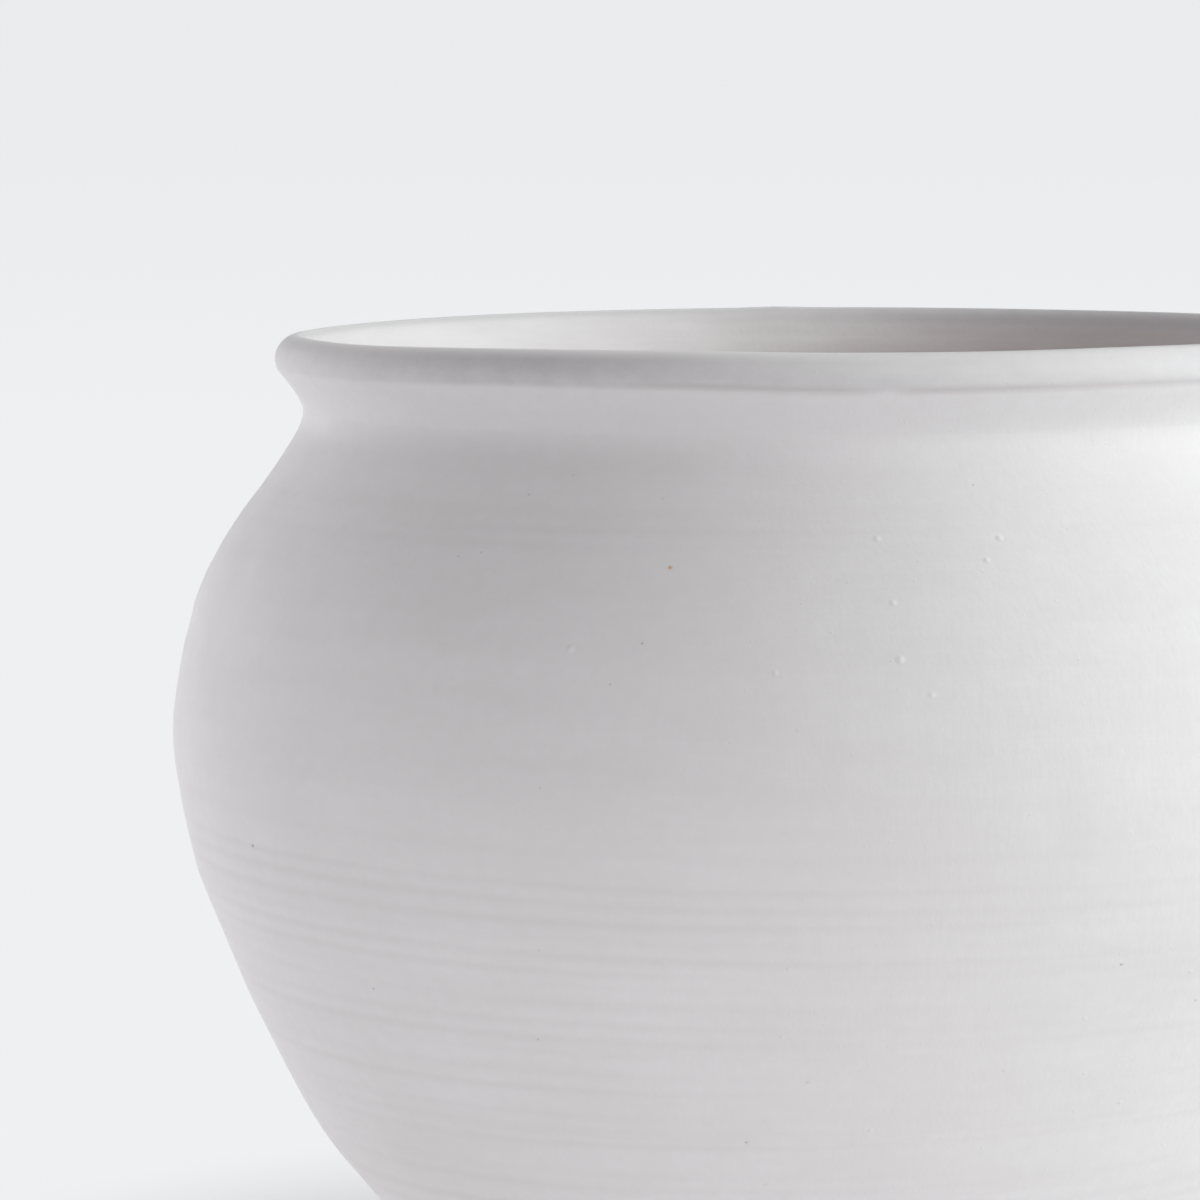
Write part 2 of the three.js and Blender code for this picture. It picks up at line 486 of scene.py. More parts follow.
# What goes round the pot, as height, half width and depth in millimetres: soft throwing bands, mostly
# above the belly, and turned lines, mostly below it. One line stands up instead.
RINGS = (
    (197.7, 2.2, 0.07),
    (186.0, 1.8, 0.06),
    (183.0, 1.0, 0.07),
    (179.5, 1.2, 0.04),
    (173.0, 2.6, 0.14),
    (167.5, 2.4, 0.04),
    (151.2, 3.2, 0.20),
    (138.0, 3.2, 0.13),
    (127.0, 2.6, 0.09),
    (120.6, 1.2, 0.05),
    (113.8, 0.8, 0.12),
    (110.2, 0.9, 0.10),
    (106.6, 1.0, 0.10),
    (103.1, 0.8, 0.055),
    (99.8, 0.9, 0.11),
    (96.3, 0.8, 0.09),
    (93.4, 0.7, 0.045),
    (89.8, 0.9, 0.065),
    (85.2, 0.9, 0.065),
    (82.0, 0.9, 0.12),
    (79.1, 0.8, 0.045),
    (75.2, 0.9, 0.05),
    (71.3, 0.9, 0.09),
    (65.8, 0.9, 0.04),
    (63.0, 0.8, 0.05),
    (61.5, 0.6, -0.13),
    (60.0, 0.8, 0.06),
    (53.0, 1.0, 0.06),
    (50.1, 1.0, 0.09),
    (44.4, 1.0, 0.10),
    (40.0, 1.0, 0.09),
    (34.0, 1.2, 0.06),
)

# A ring that cuts in and is narrower than this is a line, darkened in colour: partly a thinner coat,
# partly painted shade. Lines are worn to a share of their depth between two sides of the pot, and again
# about one place. All rings wander, and vary in depth, on their way round.
LINE_WIDTH = 2 * MM
LINE_THINNING_AND_SHADE = 1.2
LINES_FADE = (math.radians(-28), math.radians(12))
LINES_RETURN = (math.radians(60), math.radians(120))
LINES_LEFT = 0.4
LINES_FADE_SIDE = math.radians(-86)
LINES_FADE_SPREAD = math.radians(18)
LINES_FADE_SHARE = 0.7
RING_WANDER = 0.3 * MM
RING_STRENGTH = 0.85
RING_STRENGTH_VARIES = 0.5
RING_STRENGTH_LIMITS = (0.1, 1.5)

# Crease under the bead: deep on the right of the photograph, with one break, rising and fading out
# to the left. Its depth wanders where the photograph doesn't show it.
CREASE_DEPTH = 0.5 * MM
CREASE_WIDTH = 0.7 * MM
# How far the crease darkens in colour: partly a thinner coat, partly painted shade.
CREASE_THINNING_AND_SHADE = 0.6
CREASE_FADES_FROM = math.radians(-10)
CREASE_FADES_TO = math.radians(-26)
CREASE_BREAK = math.radians(6.7)
CREASE_BREAK_WIDTH = math.radians(1.8)
CREASE_BREAK_SHARE = 0.75
CREASE_RISE = 0.8 * MM
CREASE_RISES = (math.radians(8), math.radians(-16))
CREASE_SINKS = (math.radians(-60), math.radians(-120))
CREASE_BELOW = 0.2 * MM
CREASE_EASES = (math.radians(14), math.radians(30))
CREASE_EASED = 0.25
CREASE_UNSEEN = (math.radians(60), math.radians(120))

# Painted shade on the lip's outer face, by how far below the crest it sets in and ends, most on one side
# of the pot and further round lower down, and more faintly painted shade on the neck.
LIP_FACE_TOP = (0.4 * MM, 2.0 * MM)
LIP_FACE_END = (6.4 * MM, 7.8 * MM)
LIP_FACE_LEAST = 0.4
LIP_FACE_MOST_AT = math.radians(-29)
LIP_FACE_SPREAD = math.radians(20)
LIP_FACE_REACH = math.radians(36)
LIP_FACE_WIDENS = (2.5 * MM, 5.5 * MM)
NECK_SHADE = 0.17
NECK_SHADE_SPREAD = math.radians(26)
NECK_SHADE_END = (20 * MM, 32 * MM)

# How far below the crest the coat inside the lip begins to thin, and is as thin as the liner. The
# crest has a painted highlight, on one side of the pot.
LIP_INSIDE = (0.2 * MM, 2 * MM)
CREST_HIGHLIGHT_WIDTH = 0.5 * MM
CREST_HIGHLIGHT_SIDE = math.radians(-90)
CREST_HIGHLIGHT_FADES = (math.radians(75), math.radians(115))

# The lip also rolls in a little: how far below the crest, its half width and how far it stands in.
LIP_ROLL_DROP = 1.6 * MM
LIP_ROLL_WIDTH = 1.5 * MM
LIP_ROLL_RISE = 0.35 * MM

# The side painted in shade inside the pot, and how far below the crest the inner lip is painted darker.
SHADED_SIDE = math.radians(138)
SHADED_SIDE_SPREAD = math.radians(45)
INNER_SHADE_DROP = 1.8 * MM
INNER_SHADE_WIDTH = 2.4 * MM

# Grains and finer grit in the coat, pits, pinholes, rusty specks and shallow dents, by the pixel of
# the photograph that shows them. A dent also has its radius and depth.
GRAIN_PIXELS = (
    (877, 539), (1000, 539), (987, 561), (893, 603), (900, 660), (932, 695), (775, 673), (571, 648),
)
GRIT_PIXELS = (
    (782, 1037), (871, 1131), (1086, 1074), (1076, 1112), (1122, 1103), (1164, 1145), (789, 969),
    (840, 1047), (1006, 1071), (942, 1138), (767, 1185), (1191, 972), (1086, 1019),
)
PIT_PIXELS = ((252, 846), (372, 989), (1121, 965), (746, 1143), (1197, 1001), (642, 643))
PINHOLE_PIXELS = (
    (481, 551), (458, 555), (610, 684), (540, 788), (540, 950), (973, 486), (293, 493), (537, 1040),
    (807, 1083), (573, 474), (662, 498), (528, 493),
)
RUST_PIXELS = ((670, 567),)
DENT_PIXELS = ((813, 765, 8.5 * MM, 0.18 * MM), (1059, 825, 10.5 * MM, 0.3 * MM))
GRAIN_RADIUS = 1.05 * MM
GRAIN_HEIGHT = 0.24 * MM
GRIT_RADIUS = 0.6 * MM
GRIT_HEIGHT = 0.14 * MM
PIT_RADIUS = 0.55 * MM
PIT_DEPTH = 0.22 * MM
PIT_THINNING = 0.9
PINHOLE_RADIUS = 0.42 * MM
PINHOLE_DEPTH = 0.15 * MM
PINHOLE_THINNING = 0.7
RUST_RADIUS = 0.6 * MM
RUST_DEPTH = 0.08 * MM
UNSEEN_GRAINS = 16
UNSEEN_GRIT = 30
UNSEEN_PITS = 8
UNSEEN_PINHOLES = 20
UNSEEN_RUST = 3
UNSEEN_AZIMUTHS = (math.radians(50), math.radians(270))
UNSEEN_HEIGHTS = (30 * MM, 195 * MM)


def rings(azimuth, height):
    """How deep the bands and turned lines cut in, and how deep the lines alone do."""
    worn = smooth(*LINES_FADE, azimuth) - smooth(*LINES_RETURN, azimuth)
    kept = 1 - (1 - LINES_LEFT) * worn
    kept = kept * (1 - LINES_FADE_SHARE * bell(azimuth - LINES_FADE_SIDE, LINES_FADE_SPREAD))
    bands, lines = 0, 0
    for number, (level, width, depth) in enumerate(RINGS):
        drift = RING_WANDER * wander(azimuth, RING_PLACE_SEED + number, orders=3)
        place = slanted(level * MM, azimuth) + drift
        waver = wander(azimuth, RING_DEPTH_SEED + number, orders=6)
        strength = np.clip(RING_STRENGTH + RING_STRENGTH_VARIES * waver, *RING_STRENGTH_LIMITS)
        cut = depth * MM * strength * bell(height - place, width * MM)
        if depth > 0 and width * MM < LINE_WIDTH:
            lines = lines + cut * kept
        else:
            bands = bands + cut
    return bands + lines, lines


def crease_strength(azimuth):
    """How deep the crease is, from 0 to 1."""
    shown = smooth(CREASE_FADES_TO, CREASE_FADES_FROM, azimuth)
    gap = 1 - CREASE_BREAK_SHARE * bell(azimuth - CREASE_BREAK, CREASE_BREAK_WIDTH)
    away = smooth(*CREASE_UNSEEN, azimuth)
    unseen = np.clip((1 + wander(azimuth, CREASE_SEED, orders=5)) / 2, 0, 1)
    eased = 1 - CREASE_EASED * smooth(*CREASE_EASES, azimuth)
    return shown * gap * eased * (1 - away) + unseen * away


def painted_lip_shade(azimuth, height):
    """How much painted shade lies on the lip's outer face and on the neck."""
    drop = HEIGHT - height
    end = smooth(*LIP_FACE_END, drop)
    turn = azimuth - LIP_FACE_MOST_AT
    reach = LIP_FACE_SPREAD + (LIP_FACE_REACH - LIP_FACE_SPREAD) * smooth(*LIP_FACE_WIDENS, drop)
    most = bell(turn, np.where(turn > 0, reach, LIP_FACE_SPREAD))
    face = smooth(*LIP_FACE_TOP, drop) * (LIP_FACE_LEAST + (1 - LIP_FACE_LEAST) * most)
    neck = NECK_SHADE * bell(turn, NECK_SHADE_SPREAD) * (1 - smooth(*NECK_SHADE_END, drop))
    return face * (1 - end) + neck * end


def shaded_side(azimuth):
    """How much shade is painted inside, by the side of the pot."""
    return bell(turn_from(SHADED_SIDE, azimuth), SHADED_SIDE_SPREAD)


def crest_highlight(azimuth, height):
    """How strong the painted highlight on the crest of the lip is."""
    side = 1 - smooth(*CREST_HIGHLIGHT_FADES, np.abs(turn_from(CREST_HIGHLIGHT_SIDE, azimuth)))
    return side * bell(HEIGHT - height, CREST_HIGHLIGHT_WIDTH)


def skin_relief(azimuth, height):
    """How far the white skin stands off its true outline, how thin it is, and its painted shade."""
    cut, lines = rings(azimuth, height)
    rise = CREASE_RISE * (smooth(*CREASE_RISES, azimuth) - smooth(*CREASE_SINKS, azimuth))
    level = HEIGHT - CREASE_DROP - CREASE_BELOW + rise
    crease = crease_strength(azimuth) * bell(height - level, CREASE_WIDTH)
    thin = LINE_THINNING_AND_SHADE * lines / MM + CREASE_THINNING_AND_SHADE * crease
    return -cut - CREASE_DEPTH * crease, thin


# White skin

# Columns round the pot, and how many rows of the front there are to one of the hidden back. The faces
# that close the sheet at its ends span more than a radian, or two rows.
SKIN_COLUMNS = 148
SKIN_BACK_STEP = 16
SEAM_TURN = 1
SEAM_ROWS = 2

# The sheet is cut finer round a mark, out to so many of its radii, and finest round the small ones.
# All but the dents are drawn a little smaller or larger than their kind.
MARK_REACH = 1.5
MARK_SIZES = (0.75, 1.15)
SMALL_MARK = 2 * MM

# The coat's lower edge is rounded off and wanders, and inside the lip it feathers out to the liner.
EDGE_ROUNDING = 1.2 * MM
EDGE_DROP = 0.45 * MM
EDGE_WANDER = 0.35 * MM
EDGE_WANDER_FADE = 4 * MM
LIP_FEATHER = 3 * MM


def marks_on_skin(line, along):
    """All the marks, each as (azimuth, run along the line, radius, rise, thinning, rust)."""
    draws = np.random.default_rng(MARK_SEED)
    outside = line[: int(np.argmax(line[:, 1])) + 1]
    marks = []

    def add(azimuth, height, radius, rise, thinning=0, rust=0):
        place = np.interp(height, outside[:, 1], along[: len(outside)])
        marks.append((azimuth, place, radius, rise, thinning, rust))

    for pixels, unseen, radius, rise, thinning, rust in (
        (GRAIN_PIXELS, UNSEEN_GRAINS, GRAIN_RADIUS, GRAIN_HEIGHT, 0, 0),
        (GRIT_PIXELS, UNSEEN_GRIT, GRIT_RADIUS, GRIT_HEIGHT, 0, 0),
        (PIT_PIXELS, UNSEEN_PITS, PIT_RADIUS, -PIT_DEPTH, PIT_THINNING, 0),
        (PINHOLE_PIXELS, UNSEEN_PINHOLES, PINHOLE_RADIUS, -PINHOLE_DEPTH, PINHOLE_THINNING, 0),
        (RUST_PIXELS, UNSEEN_RUST, RUST_RADIUS, -RUST_DEPTH, 0, 1),
    ):
        places = [seen_at(pixel, outside) for pixel in pixels]
        for azimuth in draws.uniform(*UNSEEN_AZIMUTHS, unseen):
            behind = azimuth if azimuth < math.pi else azimuth - TURN
            places.append((behind, draws.uniform(*UNSEEN_HEIGHTS)))
        for azimuth, height in places:
            size = draws.uniform(*MARK_SIZES)
            add(azimuth, height, radius * size, rise * size, thinning, rust)
    for x, y, radius, depth in DENT_PIXELS:
        add(*seen_at((x, y), outside), radius, -depth)
    return marks


def cut_finer(shape, windows, cuts, across_only=False):
    """Cuts the faces of the unrolled skin that lie in any window (azimuths, rows) finer."""
    spans = np.array(
        [
            (
                min(v.co.x for v in face.verts),
                max(v.co.x for v in face.verts),
                min(v.co.y for v in face.verts),
                max(v.co.y for v in face.verts),
            )
            for face in shape.faces
        ]
    )
    hit = np.zeros(len(spans), bool)
    for left, right, low, high in windows:
        across = (spans[:, 0] < right) & (spans[:, 1] > left)
        hit |= across & (spans[:, 2] < high) & (spans[:, 3] > low)
    hit &= (spans[:, 1] - spans[:, 0] < SEAM_TURN) & (spans[:, 3] - spans[:, 2] < SEAM_ROWS)
    edges = {edge for face, inside in zip(shape.faces, hit) if inside for edge in face.edges}
    if across_only:
        edges = {e for e in edges if abs(e.verts[0].co.y - e.verts[1].co.y) < TINY}
    bmesh.ops.subdivide_edges(shape, edges=list(edges), cuts=cuts, use_grid_fill=True)


def unrolled_skin(section, front, along, marks):
    """The skin as a flat sheet of (azimuth, row, 0), cut finer round each mark."""
    azimuth = np.linspace(-math.pi, math.pi, SKIN_COLUMNS, endpoint=False)
    azimuth, row = np.meshgrid(azimuth, np.arange(len(section), dtype=float))
    sheet = np.stack([azimuth, row, np.zeros_like(row)], axis=-1).reshape(-1, 3)
    mesh = bpy.data.meshes.new("sheet")
    mesh.from_pydata(sheet.tolist(), [], turned_faces(len(section), SKIN_COLUMNS, True))
    shape = bmesh.new()
    shape.from_mesh(mesh)
    bpy.data.meshes.remove(mesh)
    rows = np.arange(len(front))
    windows = []
    for turn, place, radius, *_ in marks:
        reach = radius * MARK_REACH
        half = reach / np.interp(place, along, front[:, 0])
        low, high = np.interp((place - reach, place + reach), along, rows)
        windows.append((turn - half, turn + half, low, high))
    small = [window for window, mark in zip(windows, marks) if mark[2] < SMALL_MARK]
    cut_finer(shape, windows, cuts=2, across_only=True)
    cut_finer(shape, small, cuts=2)
    cut_finer(shape, small, cuts=1)
    return shape


def add_marks(marks, azimuth, radius, place):
    """What all the marks together add to how far the skin stands off, how thin and how rusty it is."""
    stand, thin, rusty = np.zeros((3, len(azimuth)))
    for turn, centre, size, rise, thinning, rust in marks:
        apart = np.minimum(np.hypot(radius * (azimuth - turn), place - centre) / size, 1)
        dome = (1 + np.cos(math.pi * apart)) / 2
        stand = stand + rise * dome
        thin = thin + thinning * dome
        rusty = rusty + rust * dome
    return stand, thin, rusty


def set_lip_values(mesh, azimuth, height, shows, outer):
    """Where shade and the crest's highlight are painted, and where the coat turns inside the lip."""
    drop = HEIGHT - height
    inner_lip_shade = shaded_side(azimuth) * bell(drop - INNER_SHADE_DROP, INNER_SHADE_WIDTH) * shows
    set_values(mesh, "painted_shade", np.where(outer, painted_lip_shade(azimuth, height), inner_lip_shade))
    set_values(mesh, "inside", smooth(*LIP_INSIDE, drop) * (shows & ~outer))
    set_values(mesh, "crest", crest_highlight(azimuth, height) * shows)
    set_values(mesh, "shaded_side", shaded_side(azimuth))


def white_skin(material):
    """The white coat: a front with all its relief, and a plainer back against the clay."""
    outside, _ = clay_outside(SKIN_DETAIL)
    over_lip = between(clay_inside(SKIN_DETAIL), HEIGHT - COAT_TURN, HEIGHT)
    line = chain(between(outside, COAT_EDGE, HEIGHT), over_lip)
    front = offset(line, SKIN)
    back = thinned(offset(line, FIT_GAP), SKIN_BACK_STEP)
    section = np.concatenate([front, back[::-1]])
    along = run(front)
    marks = marks_on_skin(front, along)
    shape = unrolled_skin(section, front, along, marks)

    sheet = np.array([v.co for v in shape.verts])
    azimuth, row = sheet[:, 0], sheet[:, 1]
    rows = np.arange(len(section))
    radius, height = (np.interp(row, rows, section[:, axis]) for axis in (0, 1))
    away = np.concatenate([normals(front), np.zeros_like(back)])
    shows = row <= len(front) - 1
    outer = row <= int(np.argmax(front[:, 1]))
    place = np.interp(row, np.arange(len(front)), along)

    stand, thin = skin_relief(azimuth, height)
    roll = LIP_ROLL_RISE * bell(HEIGHT - height - LIP_ROLL_DROP, LIP_ROLL_WIDTH)
    marked, marked_thin, rusty = add_marks(marks, azimuth, radius, place)
    stand = np.where(outer, stand, roll) + marked
    thin = thin * outer + marked_thin * shows
    stand = stand - EDGE_DROP * (1 - smooth(0, EDGE_ROUNDING, place))
    stand = stand - (COAT - LINER) * smooth(along[-1] - LIP_FEATHER, along[-1], place)
    stand = stand * shows
    edge = EDGE_WANDER * wander(azimuth, COAT_EDGE_SEED, orders=12)
    edge = edge * (1 - smooth(0, EDGE_WANDER_FADE, place)) * shows
    out, up = (np.interp(row, rows, away[:, axis]) for axis in (0, 1))
    shaped = hand_shaped(radius + out * stand, azimuth, height + up * stand + edge)
    for vert, spot in zip(shape.verts, shaped):
        vert.co = spot
    mesh = bpy.data.meshes.new("white_skin")
    shape.to_mesh(mesh)
    shape.free()
    # How thin the coat is, with painted shade added in lines and the crease.
    set_values(mesh, "thin", np.clip(thin, 0, 1))
    set_values(mesh, "rusty", rusty * shows)
    set_lip_values(mesh, azimuth, height, shows, outer)
    return finish_piece("white_skin", mesh, material)


# Other pieces

# Throwing rings inside: depth and spacing in millimetres, how often they wind round in a turn, and how
# far they drift. On the floor they give way to even rings, which start away from its middle.
INNER_RINGS = ((0.10, 9.5, 1, 1), (0.07, 5.3, 2, 1.7))
INNER_RINGS_START = (FLOOR_HEIGHT + 2 * MM, FLOOR_HEIGHT + 20 * MM)
INNER_RINGS_END = (196 * MM, 204 * MM)
FLOOR_RING_DEPTH = 0.12 * MM
FLOOR_RING_SPACING = 7.5 * MM
FLOOR_RINGS_START = (6 * MM, 14 * MM)
LINER_BACK_STEP = 8

# Turned rings on the underside, within the recess.
UNDERSIDE_RING_DEPTH = 0.16 * MM
UNDERSIDE_RING_SPACING = 3.1 * MM
UNDERSIDE_RINGS_START = (2 * MM, 8 * MM)
UNDERSIDE_RINGS_END = (60 * MM, 62 * MM)
UNDERSIDE_LEVEL = (FOOT_RECESS - 0.4 * MM, FOOT_RECESS)
UNDERSIDE_TOP = FOOT_RECESS + 0.1 * MM

# Steps along the stretches under the foot, and columns round each piece.
UNDERSIDE_STEPS = 150
RECESS_STEPS = 5
FOOT_EDGE_STEPS = 4
REST_STEPS = 6
BOWL_COLUMNS = 160
CLAY_COLUMNS = 128


def liner_relief(azimuth, radius, height):
    """Throwing rings left inside by the fingers."""
    drift = wander(azimuth, LINER_SEED, orders=4)
    side = 0
    for depth, spacing, winds, drifts in INNER_RINGS:
        phase = TURN * height / (spacing * MM) - winds * azimuth + drifts * drift
        side = side + depth * MM * np.sin(phase)
    floor = FLOOR_RING_DEPTH * np.sin(TURN * radius / FLOOR_RING_SPACING - azimuth)
    floor = floor * smooth(*FLOOR_RINGS_START, radius)
    share = smooth(*INNER_RINGS_START, height)
    return (side * share + floor * (1 - share)) * (1 - smooth(*INNER_RINGS_END, height))


def liner(material):
    line = below(clay_inside(SKIN_DETAIL), HEIGHT - COAT_TURN)
    front = offset(line, FIT_GAP + LINER)
    back = thinned(offset(line, FIT_GAP), LINER_BACK_STEP)
    shows = np.repeat([0.0, 1.0], [len(back), len(front)])[:, None]

    def relief(azimuth, radius, height):
        return shows * liner_relief(azimuth, radius, height)

    section = np.concatenate([back[::-1], front])
    piece = turned("liner_skin", section, SKIN_COLUMNS, material, relief)
    spots = np.array([v.co for v in piece.data.vertices])
    # The side on which the inside is painted in shade.
    set_values(piece.data, "shaded_side", shaded_side(np.arctan2(spots[:, 0], -spots[:, 1])))
    return piece


def underside_relief(azimuth, radius, height):
    """Turned rings on the underside, which fade out before the ring that the pot rests on."""
    under = smooth(*UNDERSIDE_LEVEL, height) * (1 - smooth(*UNDERSIDE_RINGS_END, radius))
    under = under * (height < UNDERSIDE_TOP)
    turns = radius / UNDERSIDE_RING_SPACING - azimuth / TURN
    ridge = np.abs(turns - np.round(turns)) * 2
    return -UNDERSIDE_RING_DEPTH * under * (1 - ridge**2) * smooth(*UNDERSIDE_RINGS_START, radius)


def foot_outline():
    """The underside from the axis to the foot's outer edge, in section."""
    underside = bezier(
        UNDERSIDE_STEPS, (0, FOOT_RECESS), (FOOT_RING_INNER - RECESS_ROUNDING, FOOT_RECESS)
    )
    recess = bezier(
        RECESS_STEPS,
        underside[-1],
        (FOOT_RING_INNER, FOOT_RECESS),
        (FOOT_RING_INNER, FOOT_RECESS - RECESS_ROUNDING),
    )
    inner_edge = bezier(
        FOOT_EDGE_STEPS,
        (FOOT_RING_INNER, FOOT_CHAMFER),
        (FOOT_RING_INNER, 0),
        (FOOT_RING_INNER + FOOT_CHAMFER, 0),
    )
    rest = bezier(REST_STEPS, inner_edge[-1], (FOOT_RADIUS - FOOT_CHAMFER, 0))
    outer_edge = bezier(FOOT_EDGE_STEPS, rest[-1], (FOOT_RADIUS, 0), (FOOT_RADIUS, FOOT_CHAMFER))
    return np.concatenate([chain(underside, recess), chain(inner_edge, rest, outer_edge)])


def bowl(material):
    outside, _ = clay_outside(CLAY_DETAIL)
    inside = clay_inside(CLAY_DETAIL)
    top = BELLY_JOINT - JOINT_STAND_OFF
    section = np.concatenate(
        [
            foot_outline(),
            between(outside, FOOT_CHAMFER, top)[1:-1],
            vee(outside, inside, top, BELLY_JOINT_DEPTH),
            below(inside, top)[1:],
        ]
    )
    return turned("thrown_bowl", section, BOWL_COLUMNS, material, underside_relief)


def shoulder(material):
    outside, _ = clay_outside(CLAY_DETAIL)
    inside = clay_inside(CLAY_DETAIL)
    bottom = BELLY_JOINT + JOINT_STAND_OFF
    top = LIP_JOINT - JOINT_STAND_OFF
    section = np.concatenate(
        [
            between(outside, bottom, top)[:-1],
            vee(outside, inside, top, LIP_JOINT_DEPTH),
            between(inside, bottom, top)[1:],
            vee(outside, inside, bottom, BELLY_JOINT_DEPTH)[1:2],
        ]
    )
    return turned("thrown_shoulder", section, CLAY_COLUMNS, material)


def rolled_lip(material):
    outside, _ = clay_outside(CLAY_DETAIL)
    inside = clay_inside(CLAY_DETAIL)
    bottom = LIP_JOINT + JOINT_STAND_OFF
    section = np.concatenate(
        [
            between(outside, bottom, HEIGHT),
            between(inside, bottom, HEIGHT)[1:],
            vee(outside, inside, bottom, LIP_JOINT_DEPTH)[1:2],
        ]
    )
    return turned("rolled_lip", section, CLAY_COLUMNS, material)


def slip_bed(name, height, depth, material):
    outside, _ = clay_outside(CLAY_DETAIL)
    inside = clay_inside(CLAY_DETAIL)
    top = vee(outside, inside, height + SLIP / 2, depth)
    bottom = vee(outside, inside, height - SLIP / 2, depth)
    return turned(name, np.concatenate([top, bottom[::-1]]), CLAY_COLUMNS, material)


# Materials

# Colour sockets of a mix node, whose other sockets of the same names are for numbers and vectors.
MIX_FIRST = 6
MIX_SECOND = 7
MIX_RESULT = 2


class Nodes:
    """A material's node tree, with short calls to add and join nodes."""

    def __init__(self, name):
        self.material = bpy.data.materials.new(name)
        self.material.use_nodes = True
        self.tree = self.material.node_tree
        self.shader = self.tree.nodes["Principled BSDF"]
        self.place = self.add("ShaderNodeTexCoord").outputs["Object"]

    def add(self, kind, **settings):
        node = self.tree.nodes.new(kind)
        for name, value in settings.items():
            setattr(node, name, value)
        return node

    def join(self, source, target):
        self.tree.links.new(source, target)

    def noise(self, size, detail=2.0, rough=0.5, squeeze=(1, 1, 1)):
        """Noise from 0 to 1 with features of about that size, divided by the squeeze along each axis."""
        spread = self.add("ShaderNodeMapping")
        spread.inputs["Scale"].default_value = squeeze
        self.join(self.place, spread.inputs["Vector"])
        node = self.add("ShaderNodeTexNoise")
        node.inputs["Scale"].default_value = 1 / size
        node.inputs["Detail"].default_value = detail
        node.inputs["Roughness"].default_value = rough
        self.join(spread.outputs["Vector"], node.inputs["Vector"])
        return node.outputs["Fac"]

    def height(self):
        parts = self.add("ShaderNodeSeparateXYZ")
        self.join(self.place, parts.inputs[0])
        return parts.outputs["Z"]

    def attribute(self, name):
        return self.add("ShaderNodeAttribute", attribute_name=name).outputs["Fac"]

    def ramp(self, source, given, wanted, kind="LINEAR"):
        """A number moved from one range to another, and held at its ends."""
        node = self.add("ShaderNodeMapRange", interpolation_type=kind)
        for name, value in zip(("From Min", "From Max", "To Min", "To Max"), (*given, *wanted)):
            node.inputs[name].default_value = value
        self.join(source, node.inputs["Value"])
        return node.outputs["Result"]

    def mix(self, share, first, second):
        """One colour into another. A colour is a socket or three numbers."""
        node = self.add("ShaderNodeMix", data_type="RGBA")
        self.join(share, node.inputs["Factor"])
        for number, colour in ((MIX_FIRST, first), (MIX_SECOND, second)):
            if isinstance(colour, tuple):
                node.inputs[number].default_value = (*colour, 1)
            else:
                self.join(colour, node.inputs[number])
        return node.outputs[MIX_RESULT]

    def combine(self, operation, first, second):
        """Two numbers joined by an operation, and held between 0 and 1."""
        node = self.add("ShaderNodeMath", operation=operation, use_clamp=True)
        self.join(first, node.inputs[0])
        self.join(second, node.inputs[1])
        return node.outputs[0]

    def specks(self, spacing, radius):
        """Small scattered domes, from 0 round them to 1 on their tops."""
        cells = self.add("ShaderNodeTexVoronoi")
        cells.inputs["Scale"].default_value = 1 / spacing
        self.join(self.place, cells.inputs["Vector"])
        return self.ramp(cells.outputs["Distance"], (0, radius / spacing), (1, 0), "SMOOTHSTEP")

    def bump(self, source, depth, below=None):
        node = self.add("ShaderNodeBump")
        node.inputs["Strength"].default_value = 1
        node.inputs["Distance"].default_value = depth
        self.join(source, node.inputs["Height"])
        if below is not None:
            self.join(below, node.inputs["Normal"])
        return node.outputs["Normal"]

    def surface(self, colour, roughness, normal):
        """The material, once its surface is given."""
        for name, source in (("Base Color", colour), ("Roughness", roughness), ("Normal", normal)):
            self.join(source, self.shader.inputs[name])
        return self.material


# Colours, as linear red, green and blue.
WHITE = (0.828, 0.812, 0.833)
WHITE_SHADE = (0.795, 0.775, 0.794)
# Painted shade on the lip's face, the neck and the inner lip.
LIP_SHADE_WHITE = (0.616, 0.600, 0.623)
# Painted highlight on the crest.
CREST_HIGHLIGHT_WHITE = (0.93, 0.915, 0.93)
# Thin coat in pits; in lines and the crease, thin coat and painted shade.
THIN_AND_SHADED_WHITE = (0.60, 0.562, 0.582)
# Whiter than the outer coat, as painted light where the inside is lit. LINER_SHADE is random stain, and
# painted shade on the shaded side.
LINER_LIT_WHITE = (0.93, 0.91, 0.93)
LINER_SHADE = (0.72, 0.665, 0.68)
LINER_DEEP = (0.52, 0.36, 0.31)
CLAY = (0.46, 0.17, 0.085)
CLAY_PALE = (0.56, 0.25, 0.14)
CLAY_DARK = (0.30, 0.105, 0.055)
PIT_BROWN = (0.20, 0.15, 0.14)
RUST = (0.62, 0.34, 0.12)

# Heights over which the liner grows patchy below the coat's edge, and then thin lower down.
LINER_PATCHY = (HEIGHT - COAT_TURN, HEIGHT - 16 * MM)
LINER_THINS = (HEIGHT - 24 * MM, HEIGHT - 60 * MM)

# How thin the coat is where the brown under it begins to show, how far it has greyed by then, partly as
# painted shade in lines and the crease, and how much shade is painted inside on its shaded side.
BROWN_SHOWS_FROM = 0.6
THIN_GREYED = 0.75
INSIDE_SHADE = 0.85


def lining(nodes):
    """Colour of the thin coat inside the lip and the liner's top: painted light and shade, and blotches.
    """
    side_shade = nodes.ramp(nodes.attribute("shaded_side"), (0, 1), (0, INSIDE_SHADE))
    blotches = nodes.noise(6 * MM, detail=5, rough=0.6, squeeze=(0.3, 0.3, 1.4))
    blotches = nodes.ramp(blotches, (0.3, 0.7), (0, 0.25))
    return nodes.mix(nodes.combine("ADD", side_shade, blotches), LINER_LIT_WHITE, LINER_SHADE)


